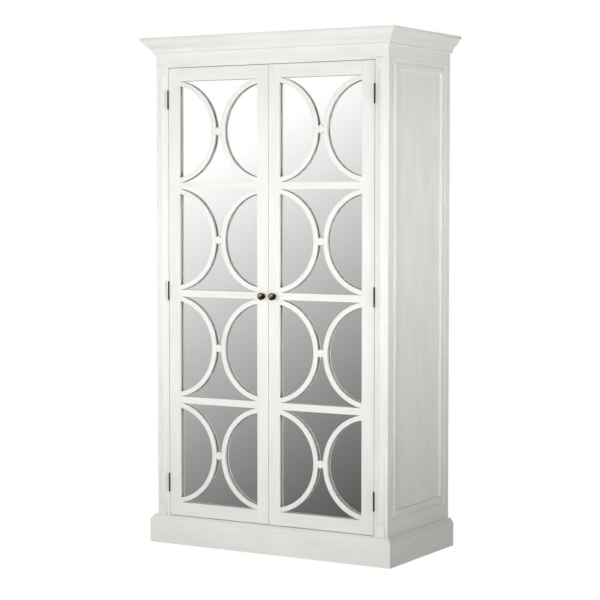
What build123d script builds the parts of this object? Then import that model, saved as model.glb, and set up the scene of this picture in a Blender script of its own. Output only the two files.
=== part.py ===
from build123d import *
import os

# Two-door armoire with fretted mirror doors. Millimetres, +Z up, the front faces -Y.
# The origin is on the floor, at the centre of the whole outline: the cornice sets its width and depth.

# Overall sizes
HEIGHT = 2100.0
BODY_WIDTH = 1090.0
BODY_DEPTH = 540.0
CORNICE_OUT = 50.0
PLINTH_OUT = 23.5
CAP_THICKNESS = 12.0
PLINTH_HEIGHT = 116.0
OPENING_TOP = 1978.0
CORNICE_BOTTOM = 2033.0

# Boards and posts
POST_WIDTH = 59.0
FRONT_POST_DEPTH = 40.0
BACK_POST_DEPTH = 40.0
BOARD = 22.0
SHELF_BOARD = 18.0
BACK_BOARD = 8.0
BACK_REBATE = 10.0
TENON = 20.0
TENON_CHEEK = 5.0  # timber left beside a carcass tenon
TENON_SHOULDER = 10.0  # timber left above or below it
EASE = 0.8  # rounding of painted timber edges
POST_ROUND = 3.0

# Side frames
SIDE_RAIL_TOP = 1980.0
SIDE_RAIL_BOTTOM = 178.0
PANEL_SINK = 7.0
PANEL_THICKNESS = 9.0
PANEL_GROOVE = 8.0
PANEL_PLAY = 0.5
MOULDING_WIDTH = 36.0
SIDE_FRAME_BOTTOM = 40.0

# Pilasters
PILASTER_WIDTH = 36.0
PILASTER_OUT = 9.0
PILASTER_BLOCK_OUT = 8.0
PILASTER_BLOCK_TOP = 1986.0
PILASTER_BLOCK_HEIGHT = 44.0
PILASTER_NECK = 3.5
PILASTER_NECK_WIDTH = 30.0
PILASTER_NECK_OUT = 1.2

# Doors
DOOR_THICKNESS = 21.5
DOOR_GAP = 2.2
DOOR_BOTTOM = 118.5
DOOR_TOP = 1975.4
MEETING_GAP = 2.0
MEETING_STILE = 52.5
HINGE_STILE = 55.5
DOOR_TOP_RAIL = 54.5
DOOR_BOTTOM_RAIL = 55.5
MID_RAIL = 29.0
FIELDS = 4
FRET_THICKNESS = 12.0
FRET_BAND = 20.0
FRET_OUTER_RADIUS = 211.5
FRET_APEX_OFFSET = 12.0
FRET_DISC_RADIUS = 16.0
MIRROR = 4.0
GLASS_REBATE = 9.5
GLASS_PLAY = 0.5
DOOR_TENON_CHEEK = 6.0
DOOR_TENON_SHOULDER = 8.0
DOOR_TENON_HAUNCH = 14.0
MID_TENON = 15.0
MID_TENON_THICKNESS = 6.0
MID_TENON_HALF = 10.0

# Hinges, screws and knobs
HINGE_HEIGHTS = (254.0, 1056.0, 1847.0)
HINGE_LENGTH = 76.0
LEAF_WIDTH = 20.0
LEAF_THICKNESS = 1.8
LEAF_GAP = 0.3
KNUCKLES = 5
KNUCKLE_RADIUS = 3.4
KNUCKLE_GAP = 0.4
PIN_RADIUS = 1.6
PIN_PLAY = 0.05
PIN_HEAD_RADIUS = 2.6
PIN_HEAD = 1.4
PIN_PROUD = 3.7
SCREW_RADIUS = 1.7
SCREW_HEAD_RADIUS = 3.3
SCREW_HEAD = 1.6
SCREW_LENGTH = 15.0
SCREW_PLAY = 0.05
BACK_SCREW_LENGTH = 22.0
KNOB_X = 26.0
KNOB_Z = 1046.0
KNOB_RADIUS = 15.0
KNOB_DOME = 11.8
STUD_RADIUS = 2.5
STUD_LENGTH = 16.0

# Inside
SHELF_TOP = 1708.0
CLEAT = 20.0
CLEAT_HEIGHT = 70.0
RAIL_RADIUS = 12.5
RAIL_WALL = 1.5
RAIL_DROP = 40.0
SOCKET_RADIUS = 25.0
SOCKET_CUP = 14.0
SOCKET_PLATE = 3.0
SOCKET_WALL = 3.0
STOP_DEPTH = 18.0
STOP_HEIGHT = 15.0
STOP_GROOVE = 4.0
TOP_STOP_HEIGHT = 30.0
CATCH_X = 30.0
CATCH_LENGTH = 40.0
CATCH_HEIGHT = 15.0
CATCH_PLATE_INSET = 2.0
CATCH_PLATE_THICKNESS = 1.0

# Worked out from the sizes above
HALF = BODY_WIDTH / 2
FRONT = CORNICE_OUT / 2 - BODY_DEPTH / 2
BACK = FRONT + BODY_DEPTH
POST_INNER = HALF - POST_WIDTH
SIDE_FRONT = FRONT + FRONT_POST_DEPTH
SIDE_BACK = BACK - BACK_POST_DEPTH
CARCASS_TOP = HEIGHT - CAP_THICKNESS
BOARD_BACK = BACK - BACK_BOARD
PANEL_OUTER = HALF - PANEL_SINK
PANEL_INNER = PANEL_OUTER - PANEL_THICKNESS
SIDE_RAIL_INNER = HALF - BOARD
BACK_PANEL_BOTTOM = 30.0
BACK_HALF = POST_INNER + BACK_REBATE
DOOR_BACK = FRONT + DOOR_THICKNESS
STOP_FRONT = FRONT + BOARD
GLASS_FRONT = FRONT + FRET_THICKNESS
GLASS_BACK = GLASS_FRONT + MIRROR
DOOR_INNER = MEETING_GAP / 2
DOOR_OUTER = POST_INNER - DOOR_GAP
FIELD_INNER = DOOR_INNER + MEETING_STILE
FIELD_OUTER = DOOR_OUTER - HINGE_STILE
FIELD_BOTTOM = DOOR_BOTTOM + DOOR_BOTTOM_RAIL
FIELD_TOP = DOOR_TOP - DOOR_TOP_RAIL
FIELD_X = (FIELD_INNER + FIELD_OUTER) / 2
FIELD_WIDTH = FIELD_OUTER - FIELD_INNER
FIELD_HEIGHT = (FIELD_TOP - FIELD_BOTTOM - (FIELDS - 1) * MID_RAIL) / FIELDS
FIELD_ZS = [FIELD_BOTTOM + FIELD_HEIGHT / 2 + n * (FIELD_HEIGHT + MID_RAIL) for n in range(FIELDS)]
MID_RAIL_ZS = [z + (FIELD_HEIGHT + MID_RAIL) / 2 for z in FIELD_ZS[:-1]]
PIN_X = (DOOR_OUTER + POST_INNER) / 2
PIN_Y = FRONT - PIN_PROUD
LEAF_BACK = FRONT + LEAF_WIDTH
KNUCKLE_PITCH = HINGE_LENGTH / KNUCKLES
SHELF_UNDER = SHELF_TOP - SHELF_BOARD
CLEAT_INNER = POST_INNER - CLEAT
RAIL_Y = (STOP_FRONT + BOARD_BACK) / 2
RAIL_Z = SHELF_UNDER - RAIL_DROP
TOP_STOP_BOTTOM = DOOR_TOP - 13.0
PILASTER_X = (POST_INNER + HALF) / 2
SIDES = {"left": -1, "right": 1}

os.makedirs("parts", exist_ok=True)


def save(shape, name):
    """Label a finished piece and write it as its own file."""
    shape.label = name
    export_step(shape, f"parts/{name}.step")


def block(x_span, y_span, z_span, mode=Mode.ADD):
    """A rectangular block between two planes in each direction, whichever way round they are given."""
    spans = (x_span, y_span, z_span)
    with Locations([tuple(sum(span) / 2 for span in spans)]):
        Box(*(abs(high - low) for low, high in spans), mode=mode)


def across(side, low, high):
    """A span in X on the left (-1) or right (+1) half of the armoire."""
    return (side * low, side * high)


def section_plane(origin, outward, up=(0, 0, 1)):
    """A plane to draw a moulding's section on: local X points outward and local Y points up."""
    return Plane(origin=origin, x_dir=outward, z_dir=Vector(outward).cross(Vector(up)))


def screws(spots, length, play=0.0, mode=Mode.ADD):
    """Countersunk wood screws, or the holes for them, each on a plane whose Z leaves its head."""
    top = (Align.CENTER, Align.CENTER, Align.MAX)
    for spot in spots:
        with Locations(spot):
            Cone(SCREW_RADIUS + play, SCREW_HEAD_RADIUS + play, SCREW_HEAD, align=top, mode=mode)
        with Locations(spot.offset(-SCREW_HEAD)):
            Cylinder(SCREW_RADIUS + play, length - SCREW_HEAD, align=top, mode=mode)


def screw_slots(spots):
    """The driver slot across each screw's head."""
    for spot in spots:
        with Locations(spot):
            Box(2 * SCREW_HEAD_RADIUS, 0.8, 1.4, mode=Mode.SUBTRACT)


def hinge_spots(side, x, facing):
    """The three staggered screw places in every leaf, on the leaf's face at x, heads facing the gap."""
    return [
        Plane(origin=(side * x, LEAF_BACK - LEAF_WIDTH / 2 + stagger, z + rise), z_dir=(side * facing, 0, 0))
        for z in HINGE_HEIGHTS
        for rise, stagger in ((-26.0, 3.0), (0.0, -2.0), (26.0, 3.0))
    ]


FRAME_LEAF_FACE = PIN_X + LEAF_GAP / 2
DOOR_LEAF_FACE = PIN_X - LEAF_GAP / 2
FRAME_SPOTS = {side: hinge_spots(side, FRAME_LEAF_FACE, -1) for side in (-1, 1)}
DOOR_SPOTS = {side: hinge_spots(side, DOOR_LEAF_FACE, 1) for side in (-1, 1)}
EDGE_SCREW_X = POST_INNER + BACK_REBATE / 2
BACK_SPOTS = [
    Plane(origin=(x, BACK, z), z_dir=(0, 1, 0))
    for x, z in [(side * EDGE_SCREW_X, 180.0 + n * 300.0) for side in (-1, 1) for n in range(7)]
    + [(-380.0 + n * 190.0, z) for n in range(5)
       for z in (CARCASS_TOP - BOARD / 2, PLINTH_HEIGHT - BOARD / 2)]
]


# ---------------------------------------------------------------- carcass: posts, rails and panels
def corner_post(side, is_front):
    """A full-height square post, grooved for the side panel and mortised for the rails."""
    near, far = (FRONT, SIDE_FRONT) if is_front else (BACK, SIDE_BACK)
    inward = 1 if is_front else -1
    with BuildPart() as post:
        block(across(side, POST_INNER, HALF), (near, far), (0, CARCASS_TOP))
        uprights = post.edges().filter_by(Axis.Z)
        fillet(uprights.sort_by(lambda e: side * e.center().X - inward * e.center().Y)[-1], POST_ROUND)
        groove = (far, far - inward * PANEL_GROOVE)
        block(across(side, PANEL_INNER, PANEL_OUTER), groove,
              (SIDE_RAIL_BOTTOM - PANEL_GROOVE, SIDE_RAIL_TOP + PANEL_GROOVE), Mode.SUBTRACT)
        for z_span in side_tenon_spans():
            block(across(side, SIDE_RAIL_INNER + TENON_CHEEK, HALF - TENON_CHEEK),
                  (far, far - inward * TENON), z_span, Mode.SUBTRACT)
        if is_front:
            block(across(side, POST_INNER, POST_INNER + TENON),
                  (FRONT + TENON_CHEEK, STOP_FRONT - TENON_CHEEK),
                  (OPENING_TOP + TENON_SHOULDER, CARCASS_TOP - TENON_SHOULDER), Mode.SUBTRACT)
            for z in HINGE_HEIGHTS:
                block(across(side, POST_INNER, FRAME_LEAF_FACE + LEAF_THICKNESS), (FRONT, LEAF_BACK),
                      (z - HINGE_LENGTH / 2, z + HINGE_LENGTH / 2), Mode.SUBTRACT)
            screws(FRAME_SPOTS[side], SCREW_LENGTH, SCREW_PLAY, Mode.SUBTRACT)
        else:
            block(across(side, POST_INNER, BACK_HALF), (BOARD_BACK, BACK), (BACK_PANEL_BOTTOM, CARCASS_TOP),
                  Mode.SUBTRACT)
            beside = [spot for spot in BACK_SPOTS if abs(spot.origin.X - side * EDGE_SCREW_X) < 1]
            screws(beside, BACK_SCREW_LENGTH, SCREW_PLAY, Mode.SUBTRACT)
    return post.part


def side_tenon_spans():
    """Heights of the tenons on the bottom and the top side rails."""
    clear_of_groove = PANEL_GROOVE + TENON_CHEEK
    return [
        (SIDE_FRAME_BOTTOM + TENON_SHOULDER, SIDE_RAIL_BOTTOM - clear_of_groove),
        (SIDE_RAIL_TOP + clear_of_groove, CARCASS_TOP - TENON_SHOULDER),
    ]


def side_rail(side, z_span, groove_span, tenon_span):
    """A rail between a front and a back post, tenoned into both and grooved for the panel's edge."""
    with BuildPart() as rail:
        block(across(side, SIDE_RAIL_INNER, HALF), (SIDE_FRONT, SIDE_BACK), z_span)
        block(across(side, SIDE_RAIL_INNER + TENON_CHEEK, HALF - TENON_CHEEK),
              (SIDE_FRONT - TENON, SIDE_BACK + TENON), tenon_span)
        block(across(side, PANEL_INNER, PANEL_OUTER), (SIDE_FRONT, SIDE_BACK), groove_span, Mode.SUBTRACT)
    return rail.part


def side_panel(side):
    """The thin panel that floats in the grooves of the posts and rails."""
    reach = PANEL_GROOVE - PANEL_PLAY
    with BuildPart() as panel:
        block(across(side, PANEL_INNER, PANEL_OUTER), (SIDE_FRONT - reach, SIDE_BACK + reach),
              (SIDE_RAIL_BOTTOM - reach, SIDE_RAIL_TOP + reach))
    return panel.part


with BuildSketch() as moulding_section:
    # Local X runs inward from the frame's edge, local Y stands out of the panel.
    with BuildLine():
        Polyline((14, 4.6), (0, 6.8), (0, 0), (MOULDING_WIDTH, 0), (MOULDING_WIDTH, 4.6))
        ThreePointArc((MOULDING_WIDTH, 4.6), (35.2, 7), (32.5, 8))
        Polyline((32.5, 8), (18, 8.2), (16.2, 7.6), (14, 4.6))
    make_face()


def side_moulding(side):
    """Four mitred lengths of panel moulding round the inside of a side frame."""
    y_mid, z_mid = (SIDE_FRONT + SIDE_BACK) / 2, (SIDE_RAIL_BOTTOM + SIDE_RAIL_TOP) / 2
    half_y, half_z = (SIDE_BACK - SIDE_FRONT) / 2, (SIDE_RAIL_TOP - SIDE_RAIL_BOTTOM) / 2
    lengths = []
    upright, level = (half_y, half_z), (half_z, half_y)
    for inward, (reach, half_length) in (
        ((0, 1, 0), upright), ((0, -1, 0), upright), ((0, 0, 1), level), ((0, 0, -1), level)
    ):
        inward = Vector(*inward)
        start = Vector(side * PANEL_OUTER, y_mid, z_mid) - inward * reach
        plane = section_plane(start, inward, (side, 0, 0))
        with BuildPart() as length:
            with BuildSketch(plane):
                add(moulding_section.sketch)
            extrude(amount=half_length, both=True)
            for run in (plane.z_dir, plane.z_dir * -1):
                mitre = Plane(origin=start + run * half_length, z_dir=run + inward)
                split(bisect_by=mitre, keep=Keep.BOTTOM)
        lengths.append(length.part.solid())
    return Compound(lengths)


def notched_board(half_width, y_front, z_span):
    """A horizontal board, cut back round the four posts, with its back edge against the back panel."""
    with BuildPart() as board:
        block((-POST_INNER, POST_INNER), (y_front, BOARD_BACK), z_span)
        block((-half_width, half_width), (SIDE_FRONT, SIDE_BACK), z_span)
        level = [spot for spot in BACK_SPOTS if z_span[0] < spot.origin.Z < z_span[1]]
        edge = [spot for spot in level if abs(spot.origin.X) < POST_INNER]
        screws(edge, BACK_SCREW_LENGTH, SCREW_PLAY, Mode.SUBTRACT)
    return board.part


for side_name, side in SIDES.items():
    save(corner_post(side, True), f"front_post_{side_name}")
    save(corner_post(side, False), f"back_post_{side_name}")
    bottom_tenon, top_tenon = side_tenon_spans()
    bottom_groove = (SIDE_RAIL_BOTTOM - PANEL_GROOVE, SIDE_RAIL_BOTTOM)
    top_groove = (SIDE_RAIL_TOP, SIDE_RAIL_TOP + PANEL_GROOVE)
    save(side_rail(side, (SIDE_FRAME_BOTTOM, SIDE_RAIL_BOTTOM), bottom_groove, bottom_tenon),
         f"side_bottom_rail_{side_name}")
    save(side_rail(side, (SIDE_RAIL_TOP, CARCASS_TOP), top_groove, top_tenon), f"side_top_rail_{side_name}")
    save(side_panel(side), f"side_panel_{side_name}")
    save(side_moulding(side), f"side_moulding_{side_name}")

with BuildPart() as bottom_board:
    add(notched_board(SIDE_RAIL_INNER, FRONT, (PLINTH_HEIGHT - BOARD, PLINTH_HEIGHT)))
    block((-POST_INNER, POST_INNER), (STOP_FRONT, STOP_FRONT + STOP_DEPTH),
          (PLINTH_HEIGHT - STOP_GROOVE, PLINTH_HEIGHT), Mode.SUBTRACT)
save(bottom_board.part, "bottom_board")
save(notched_board(SIDE_RAIL_INNER, STOP_FRONT, (CARCASS_TOP - BOARD, CARCASS_TOP)), "top_board")

with BuildPart() as frieze_rail:
    block((-POST_INNER, POST_INNER), (FRONT, STOP_FRONT), (OPENING_TOP, CARCASS_TOP))
    lower_edge = frieze_rail.edges().filter_by(Axis.X).sort_by(lambda e: e.center().Y + e.center().Z)[0]
    fillet(lower_edge, EASE)
    block((-POST_INNER - TENON, POST_INNER + TENON), (FRONT + TENON_CHEEK, STOP_FRONT - TENON_CHEEK),
          (OPENING_TOP + TENON_SHOULDER, CARCASS_TOP - TENON_SHOULDER))
save(frieze_rail.part, "frieze_rail")

with BuildPart() as back_panel:
    block((-BACK_HALF, BACK_HALF), (BOARD_BACK, BACK), (BACK_PANEL_BOTTOM, CARCASS_TOP))
    screws(BACK_SPOTS, BACK_SCREW_LENGTH, SCREW_PLAY, Mode.SUBTRACT)
save(back_panel.part, "back_panel")

with BuildPart() as back_screws:
    screws(BACK_SPOTS, BACK_SCREW_LENGTH)
    screw_slots(BACK_SPOTS)
save(back_screws.part, "back_screws")

with BuildPart() as door_stops:
    # The lower strip stands in a groove in the bottom board.
    for z_span in (
        (TOP_STOP_BOTTOM, TOP_STOP_BOTTOM + TOP_STOP_HEIGHT),
        (PLINTH_HEIGHT - STOP_GROOVE, PLINTH_HEIGHT + STOP_HEIGHT),
    ):
        block((-POST_INNER, POST_INNER), (STOP_FRONT, STOP_FRONT + STOP_DEPTH), z_span)
save(door_stops.part, "door_stops")


# ---------------------------------------------------------------- pilasters
def pilaster(side):
    """A half-round shaft planted on the post, with a square block beyond a neck at each end."""
    face = Plane(origin=(side * PILASTER_X, FRONT, 0), x_dir=(1, 0, 0), z_dir=(0, 0, 1))
    low_block = (PLINTH_HEIGHT, PLINTH_HEIGHT + PILASTER_BLOCK_HEIGHT)
    high_block = (PILASTER_BLOCK_TOP - PILASTER_BLOCK_HEIGHT, PILASTER_BLOCK_TOP)
    shaft_low, shaft_high = low_block[1] + PILASTER_NECK, high_block[0] - PILASTER_NECK
    half = PILASTER_WIDTH / 2
    x_mid = side * PILASTER_X
    with BuildPart() as column:
        for z_span in (low_block, high_block):
            block((x_mid - half, x_mid + half), (FRONT, FRONT - PILASTER_BLOCK_OUT), z_span)
        fillet(column.edges().group_by(Axis.Y)[0], EASE)
        with BuildSketch(face.offset(shaft_low)):
            with BuildLine():
                ThreePointArc((-half, 0), (0, -PILASTER_OUT), (half, 0))
                Line((half, 0), (-half, 0))
            make_face()
        extrude(amount=shaft_high - shaft_low)
        block((x_mid - PILASTER_NECK_WIDTH / 2, x_mid + PILASTER_NECK_WIDTH / 2),
              (FRONT, FRONT - PILASTER_NECK_OUT), (low_block[1] - 1, high_block[0] + 1))
    return column.part


for side_name, side in SIDES.items():
    save(pilaster(side), f"pilaster_{side_name}")


# ---------------------------------------------------------------- cornice and plinth
with BuildSketch() as cornice_section:
    # Local X stands out of the body, local Y is the height: a small bead, then an ogee up to the cap.
    with BuildLine():
        Polyline((0, CARCASS_TOP), (0, CORNICE_BOTTOM), (6, CORNICE_BOTTOM))
        ThreePointArc((6, CORNICE_BOTTOM), (9, CORNICE_BOTTOM + 4), (6.5, CORNICE_BOTTOM + 8))
        Line((6.5, CORNICE_BOTTOM + 8), (10, CORNICE_BOTTOM + 8))
        ThreePointArc((10, CORNICE_BOTTOM + 8), (15.6, CORNICE_BOTTOM + 20), (25, CORNICE_BOTTOM + 30))
        ThreePointArc((25, CORNICE_BOTTOM + 30), (36, CORNICE_BOTTOM + 40.5), (42, CARCASS_TOP))
        Line((42, CARCASS_TOP), (0, CARCASS_TOP))
    make_face()

with BuildSketch() as plinth_section:
    # A plain skirting face, a narrow shoulder, then a flat ovolo back to the body.
    with BuildLine():
        Polyline((0, PLINTH_HEIGHT), (0, 0), (PLINTH_OUT, 0), (PLINTH_OUT, PLINTH_HEIGHT - 19))
        ThreePointArc((PLINTH_OUT, PLINTH_HEIGHT - 19), (PLINTH_OUT - 0.8, PLINTH_HEIGHT - 17.2),
                      (PLINTH_OUT - 2.6, PLINTH_HEIGHT - 16.4))
        Line((PLINTH_OUT - 2.6, PLINTH_HEIGHT - 16.4), (PLINTH_OUT - 4, PLINTH_HEIGHT - 14))
        ThreePointArc((PLINTH_OUT - 4, PLINTH_HEIGHT - 14), (12, PLINTH_HEIGHT - 6), (1, PLINTH_HEIGHT))
        Line((1, PLINTH_HEIGHT), (0, PLINTH_HEIGHT))
    make_face()

MITRES = {side: Plane(origin=(side * HALF, FRONT, 0), z_dir=(side, 1, 0)) for side in (-1, 1)}


def front_run(section, reach):
    """A moulding across the front, mitred at both ends."""
    with BuildPart() as run:
        with BuildSketch(section_plane((0, FRONT, 0), (0, -1, 0))):
            add(section.sketch)
        extrude(amount=HALF + reach, both=True)
        for side in (-1, 1):
            split(bisect_by=MITRES[side], keep=Keep.BOTTOM)
    return run.part


def side_run(section, reach, side):
    """A moulding along one side, mitred at the front and square at the back."""
    with BuildPart() as run:
        with BuildSketch(section_plane((side * HALF, BACK, 0), (side, 0, 0))):
            add(section.sketch)
        extrude(amount=BODY_DEPTH + reach, dir=(0, -1, 0))
        split(bisect_by=MITRES[side], keep=Keep.TOP)
    return run.part


save(front_run(cornice_section, CORNICE_OUT), "cornice_front")
save(front_run(plinth_section, PLINTH_OUT), "plinth_front")
for side_name, side in SIDES.items():
    save(side_run(cornice_section, CORNICE_OUT, side), f"cornice_{side_name}")
    save(side_run(plinth_section, PLINTH_OUT, side), f"plinth_{side_name}")

with BuildPart() as plinth_back:
    block((-POST_INNER, POST_INNER), (BOARD_BACK - BOARD, BOARD_BACK), (0, PLINTH_HEIGHT - BOARD))
save(plinth_back.part, "plinth_back")

with BuildPart() as cornice_cap:
    block((-HALF - CORNICE_OUT, HALF + CORNICE_OUT), (FRONT - CORNICE_OUT, BACK), (CARCASS_TOP, HEIGHT))
    rear = cornice_cap.edges().group_by(Axis.Y)[-1]
    fillet([edge for edge in cornice_cap.edges() if edge not in rear], 2.0)
save(cornice_cap.part, "cornice_cap")


# ---------------------------------------------------------------- inside: shelf, cleats and hanging rail
save(notched_board(PANEL_INNER - 1, STOP_FRONT + STOP_DEPTH, (SHELF_UNDER, SHELF_TOP)), "hat_shelf")

with BuildPart() as shelf_cleats:
    for side in (-1, 1):
        block(across(side, CLEAT_INNER, POST_INNER), (FRONT + 30, BACK - 20),
              (SHELF_UNDER - CLEAT_HEIGHT, SHELF_UNDER))
save(shelf_cleats.part, "shelf_cleats")

with BuildPart() as hanging_rail:
    with Locations((0, RAIL_Y, RAIL_Z)):
        Cylinder(RAIL_RADIUS, 2 * (CLEAT_INNER - 4), rotation=(0, 90, 0))
        Cylinder(RAIL_RADIUS - RAIL_WALL, 2 * CLEAT_INNER, rotation=(0, 90, 0), mode=Mode.SUBTRACT)
save(hanging_rail.part, "hanging_rail")

with BuildPart() as rail_sockets:
    for side in (-1, 1):
        plate = Plane(origin=(side * CLEAT_INNER, RAIL_Y, RAIL_Z), z_dir=(-side, 0, 0))
        with BuildSketch(plate):
            Circle(SOCKET_RADIUS)
        extrude(amount=SOCKET_PLATE)
        with BuildSketch(plate):
            Circle(RAIL_RADIUS + SOCKET_WALL)
        extrude(amount=SOCKET_PLATE + SOCKET_CUP)
        with BuildSketch(plate.offset(SOCKET_PLATE)):
            Circle(RAIL_RADIUS + 0.1)
        extrude(amount=SOCKET_CUP, mode=Mode.SUBTRACT)
save(rail_sockets.part, "rail_sockets")

with BuildPart() as door_catches:
    for side in (-1, 1):
        block(across(side, CATCH_X, CATCH_X + CATCH_LENGTH), (STOP_FRONT + 1, STOP_FRONT + STOP_DEPTH),
              (TOP_STOP_BOTTOM - CATCH_HEIGHT, TOP_STOP_BOTTOM))
save(door_catches.part, "door_catches")


# ---------------------------------------------------------------- hinges
def knuckle_spans(z, owner):
    """Heights of the knuckles that one leaf of a hinge owns: 0 is the frame's leaf, 1 is the door's."""
    low = z - HINGE_LENGTH / 2
    return [
        (low + n * KNUCKLE_PITCH + KNUCKLE_GAP / 2, low + (n + 1) * KNUCKLE_PITCH - KNUCKLE_GAP / 2)
        for n in range(KNUCKLES)
        if n % 2 == owner
    ]


def hinge_leaf(side, z, owner):
    """One leaf of a butt hinge: a let-in plate with its share of the knuckles."""
    face, plate_side, spots = (
        (FRAME_LEAF_FACE, 1, FRAME_SPOTS[side]) if owner == 0 else (DOOR_LEAF_FACE, -1, DOOR_SPOTS[side])
    )
    x_span = across(side, face, face + plate_side * LEAF_THICKNESS)
    z_span = (z - HINGE_LENGTH / 2, z + HINGE_LENGTH / 2)
    bottom = (Align.CENTER, Align.CENTER, Align.MIN)
    with BuildPart() as leaf:
        block(x_span, (PIN_Y + KNUCKLE_RADIUS + 0.9, LEAF_BACK), z_span)
        for low, high in knuckle_spans(z, owner):
            block(x_span, (PIN_Y + 1.6, PIN_Y + KNUCKLE_RADIUS + 1), (low, high))
            with Locations((side * PIN_X, PIN_Y, low)):
                Cylinder(KNUCKLE_RADIUS, high - low, align=bottom)
        with Locations((side * PIN_X, PIN_Y, z)):
            Cylinder(PIN_RADIUS + PIN_PLAY, HINGE_LENGTH + 2, mode=Mode.SUBTRACT)
        beside = [spot for spot in spots if abs(spot.origin.Z - z) < HINGE_LENGTH / 2]
        screws(beside, SCREW_LENGTH, SCREW_PLAY, Mode.SUBTRACT)
    return leaf.part.solid()


save(Compound([hinge_leaf(side, z, 0) for side in (-1, 1) for z in HINGE_HEIGHTS]), "hinge_leaves_frame")

with BuildPart() as hinge_pins:
    for side in (-1, 1):
        for z in HINGE_HEIGHTS:
            with Locations((side * PIN_X, PIN_Y, z)):
                Cylinder(PIN_RADIUS, HINGE_LENGTH)
            for end in (-1, 1):
                with Locations((side * PIN_X, PIN_Y, z + end * (HINGE_LENGTH + PIN_HEAD) / 2)):
                    Cylinder(PIN_HEAD_RADIUS, PIN_HEAD)
save(hinge_pins.part, "hinge_pins")

with BuildPart() as hinge_screws_frame:
    for side in (-1, 1):
        screws(FRAME_SPOTS[side], SCREW_LENGTH)
        screw_slots(FRAME_SPOTS[side])
save(hinge_screws_frame.part, "hinge_screws_frame")


# ---------------------------------------------------------------- doors
def hinge_stile(side):
    """The door's outer upright: rebated for the glass, mortised for the rails, let in for the leaves."""
    with BuildPart() as stile:
        block(across(side, FIELD_OUTER, DOOR_OUTER), (FRONT, DOOR_BACK), (DOOR_BOTTOM, DOOR_TOP))
        fillet(stile.edges().filter_by(Axis.Z).group_by(Axis.Y)[0], EASE)
        block(across(side, FIELD_OUTER, FIELD_OUTER + GLASS_REBATE), (GLASS_FRONT, DOOR_BACK),
              (FIELD_BOTTOM - GLASS_REBATE, FIELD_TOP + GLASS_REBATE), Mode.SUBTRACT)
        for y_span, z_span, reach in rail_tenons():
            block(across(side, FIELD_OUTER, FIELD_OUTER + reach), y_span, z_span, Mode.SUBTRACT)
        for z in HINGE_HEIGHTS:
            block(across(side, DOOR_LEAF_FACE - LEAF_THICKNESS, DOOR_OUTER), (FRONT, LEAF_BACK),
                  (z - HINGE_LENGTH / 2, z + HINGE_LENGTH / 2), Mode.SUBTRACT)
        screws(DOOR_SPOTS[side], SCREW_LENGTH, SCREW_PLAY, Mode.SUBTRACT)
    return stile.part


def meeting_stile(side):
    """The door's inner upright, bored for the knob's stud."""
    with BuildPart() as stile:
        block(across(side, DOOR_INNER, FIELD_INNER), (FRONT, DOOR_BACK), (DOOR_BOTTOM, DOOR_TOP))
        fillet(stile.edges().filter_by(Axis.Z).group_by(Axis.Y)[0], EASE)
        block(across(side, FIELD_INNER, FIELD_INNER - GLASS_REBATE), (GLASS_FRONT, DOOR_BACK),
              (FIELD_BOTTOM - GLASS_REBATE, FIELD_TOP + GLASS_REBATE), Mode.SUBTRACT)
        for y_span, z_span, reach in rail_tenons():
            block(across(side, FIELD_INNER, FIELD_INNER - reach), y_span, z_span, Mode.SUBTRACT)
        with Locations((side * KNOB_X, FRONT + STUD_LENGTH / 2, KNOB_Z)):
            Cylinder(STUD_RADIUS, STUD_LENGTH, rotation=(90, 0, 0), mode=Mode.SUBTRACT)
    return stile.part


def rail_tenons():
    """Depth span, height span and reach of the tenons of the bottom, top and middle rails."""
    full = (FRONT + DOOR_TENON_CHEEK, DOOR_BACK - DOOR_TENON_CHEEK)
    thin_front = FRONT + (FRET_THICKNESS - MID_TENON_THICKNESS) / 2
    thin = (thin_front, thin_front + MID_TENON_THICKNESS)
    ends = [
        (full, (DOOR_BOTTOM + DOOR_TENON_SHOULDER, FIELD_BOTTOM - DOOR_TENON_HAUNCH), TENON),
        (full, (FIELD_TOP + DOOR_TENON_HAUNCH, DOOR_TOP - DOOR_TENON_SHOULDER), TENON),
    ]
    return ends + [(thin, (z - MID_TENON_HALF, z + MID_TENON_HALF), MID_TENON) for z in MID_RAIL_ZS]


def end_rail(side, z_span, rebate_span, tenon):
    """The door's top or bottom rail, rebated for the glass and tenoned into both stiles."""
    y_span, tenon_span, reach = tenon
    with BuildPart() as rail:
        block(across(side, FIELD_INNER, FIELD_OUTER), (FRONT, DOOR_BACK), z_span)
        fillet(rail.edges().filter_by(Axis.X).group_by(Axis.Y)[0], EASE)
        block(across(side, FIELD_INNER, FIELD_OUTER), (GLASS_FRONT, DOOR_BACK), rebate_span, Mode.SUBTRACT)
        block(across(side, FIELD_INNER - reach, FIELD_OUTER + reach), y_span, tenon_span)
    return rail.part


def mid_rails(side):
    """Three thin rails that cross the glass, each tenoned into both stiles."""
    with BuildPart() as rails:
        for z in MID_RAIL_ZS:
            block(across(side, FIELD_INNER, FIELD_OUTER), (FRONT, GLASS_FRONT),
                  (z - MID_RAIL / 2, z + MID_RAIL / 2))
        fillet(rails.edges().filter_by(Axis.X).group_by(Axis.Y)[0], EASE)
        for y_span, z_span, reach in rail_tenons()[2:]:
            block(across(side, FIELD_INNER - reach, FIELD_OUTER + reach), y_span, z_span)
    return rails.part


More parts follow.
